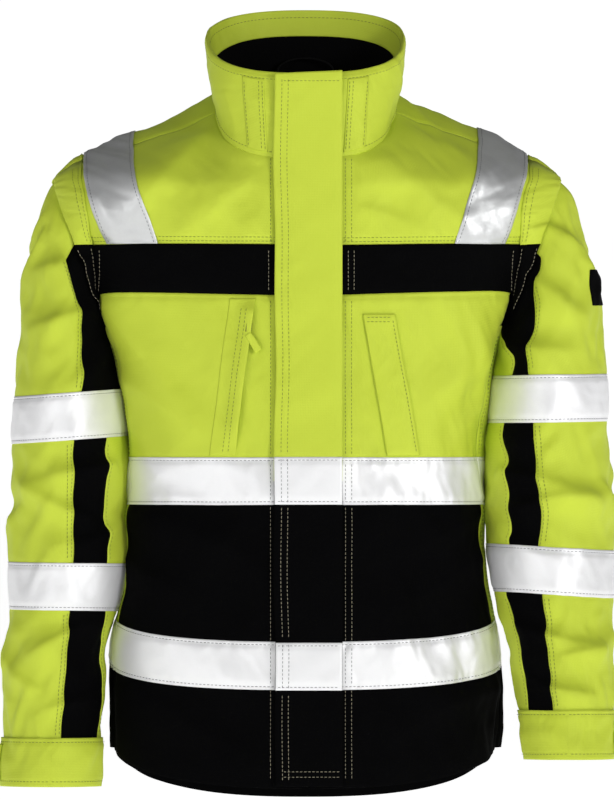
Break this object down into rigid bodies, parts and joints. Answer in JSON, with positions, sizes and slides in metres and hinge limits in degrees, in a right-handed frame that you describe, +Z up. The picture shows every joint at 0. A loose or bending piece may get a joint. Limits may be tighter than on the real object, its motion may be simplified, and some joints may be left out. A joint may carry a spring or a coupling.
{
  "type": "high-visibility work jacket",
  "caption": "Hip-length two-colour work jacket with stand collar, storm flap over the front zip, reflective tapes and set-in sleeves with cuff tabs.",
  "frame": {"origin": "underside of the hanger loop's top, inside the back of the neck", "axes": "+Z up along the jacket, -Y out of its front, +X to the wearer's left"},
  "size_m": [0.6447, 0.2705, 0.8204],
  "materials": {
    "shell_yellow": "fluorescent yellow plain-weave polyester with a soft sheen",
    "shell_black": "black plain-weave polyester, matt",
    "reflective_tape": "silver retroreflective tape, fine bead texture",
    "lining_black": "black quilted lining, fleece at the collar",
    "hook_and_loop": "black hook and loop",
    "zip_plastic": "black moulded teeth",
    "zip_metal": "black painted metal",
    "zip_tape": "black woven tape",
    "pull_fabric": "folded yellow fabric"
  },
  "bodies": {
    "jacket_body": {"armhole_cover_left": "shell_yellow", "armhole_cover_right": "shell_yellow", "back_hem_panel": "shell_black", "back_panel": "shell_yellow", "back_yoke": "shell_yellow", "body_lining": "lining_black", "chest_band_left": "shell_black", "chest_band_right": "shell_black", "chest_panel_left": "shell_yellow", "chest_panel_right": "shell_yellow", "chest_tape_back": "reflective_tape", "chest_tape_left": "reflective_tape", "chest_tape_right": "reflective_tape", "collar": "shell_yellow", "collar_facing": "shell_yellow", "collar_lining": "lining_black", "collar_strips": "shell_yellow", "front_loop_patches": "hook_and_loop", "hanger_loop": "zip_tape", "hem_elastic_left": "shell_black", "hem_elastic_right": "shell_black", "hem_tape_back": "reflective_tape", "hem_tape_left": "reflective_tape", "hem_tape_right": "reflective_tape", "lower_front_left": "shell_black", "lower_front_right": "shell_black", "pocket_bags": "lining_black", "pocket_welt_left": "shell_yellow", "pocket_welt_right": "shell_yellow", "pocket_zip_right": "zip_tape", "shoulder_tape_left": "reflective_tape", "shoulder_tape_right": "reflective_tape", "side_panel_left": "shell_yellow", "side_panel_right": "shell_yellow", "yoke_front_left": "shell_yellow", "yoke_front_right": "shell_yellow", "zip_chain": "zip_plastic", "zip_tapes": "zip_tape"},
    "storm_flap": {"storm_flap": "shell_yellow", "storm_flap_lower": "shell_black", "flap_tape_upper": "reflective_tape", "flap_tape_lower": "reflective_tape", "flap_hook_patches": "hook_and_loop"},
    "front_slider": {"zip_slider": "zip_metal", "zip_pull": "zip_metal"},
    "pocket_slider": {"pocket_slider_right": "zip_metal"},
    "pocket_pull": {"pocket_pull_right": "pull_fabric"},
    "sleeve_right": {"sleeve_right": "shell_yellow", "sleeve_stripe_right": "shell_black", "sleeve_lining_right": "lining_black", "sleeve_tapes_right": "reflective_tape", "cuff_right": "shell_yellow"},
    "sleeve_left": {"sleeve_left": "shell_yellow", "sleeve_stripe_left": "shell_black", "sleeve_lining_left": "lining_black", "sleeve_tapes_left": "reflective_tape", "cuff_left": "shell_yellow", "sleeve_badge_left": "shell_black"},
    "cuff_tab_right": {"cuff_tab_right": "shell_yellow"},
    "cuff_tab_left": {"cuff_tab_left": "shell_yellow"}
  },
  "joints": [
    {"name": "storm_flap_swing", "type": "hinge", "parent": "jacket_body", "child": "storm_flap", "pos_m": [0.038, -0.18224, -0.38367], "axis": [0, 0.0538, 0.9986], "range_deg": [0, 150]},
    {"name": "front_zip_slide", "type": "slide", "parent": "jacket_body", "child": "front_slider", "axis": [0, -0.0538, -0.9986], "range_m": [0, 0.64]},
    {"name": "pocket_zip_slide", "type": "slide", "parent": "jacket_body", "child": "pocket_slider", "axis": [-0.1296, -0.0318, -0.9911], "range_m": [0, 0.085]},
    {"name": "pocket_pull_swing", "type": "hinge", "parent": "pocket_slider", "child": "pocket_pull", "pos_m": [-0.05921, -0.17424, -0.28603], "axis": [-0.8612, -0.0163, -0.5081], "range_deg": [0, 70]},
    {"name": "sleeve_right_swing", "type": "hinge", "parent": "jacket_body", "child": "sleeve_right", "pos_m": [-0.244, -0.066, -0.117], "axis": [0, 1, 0], "range_deg": [0, 60]},
    {"name": "sleeve_left_swing", "type": "hinge", "parent": "jacket_body", "child": "sleeve_left", "pos_m": [0.244, -0.066, -0.117], "axis": [0, -1, 0], "range_deg": [0, 60]},
    {"name": "cuff_tab_right_swing", "type": "hinge", "parent": "sleeve_right", "child": "cuff_tab_right", "pos_m": [-0.31834, -0.124, -0.729], "axis": [0, 0, 1], "range_deg": [0, 100]},
    {"name": "cuff_tab_left_swing", "type": "hinge", "parent": "sleeve_left", "child": "cuff_tab_left", "pos_m": [0.3205, -0.174, -0.7], "axis": [0, 0, -1], "range_deg": [0, 100]}
  ]
}
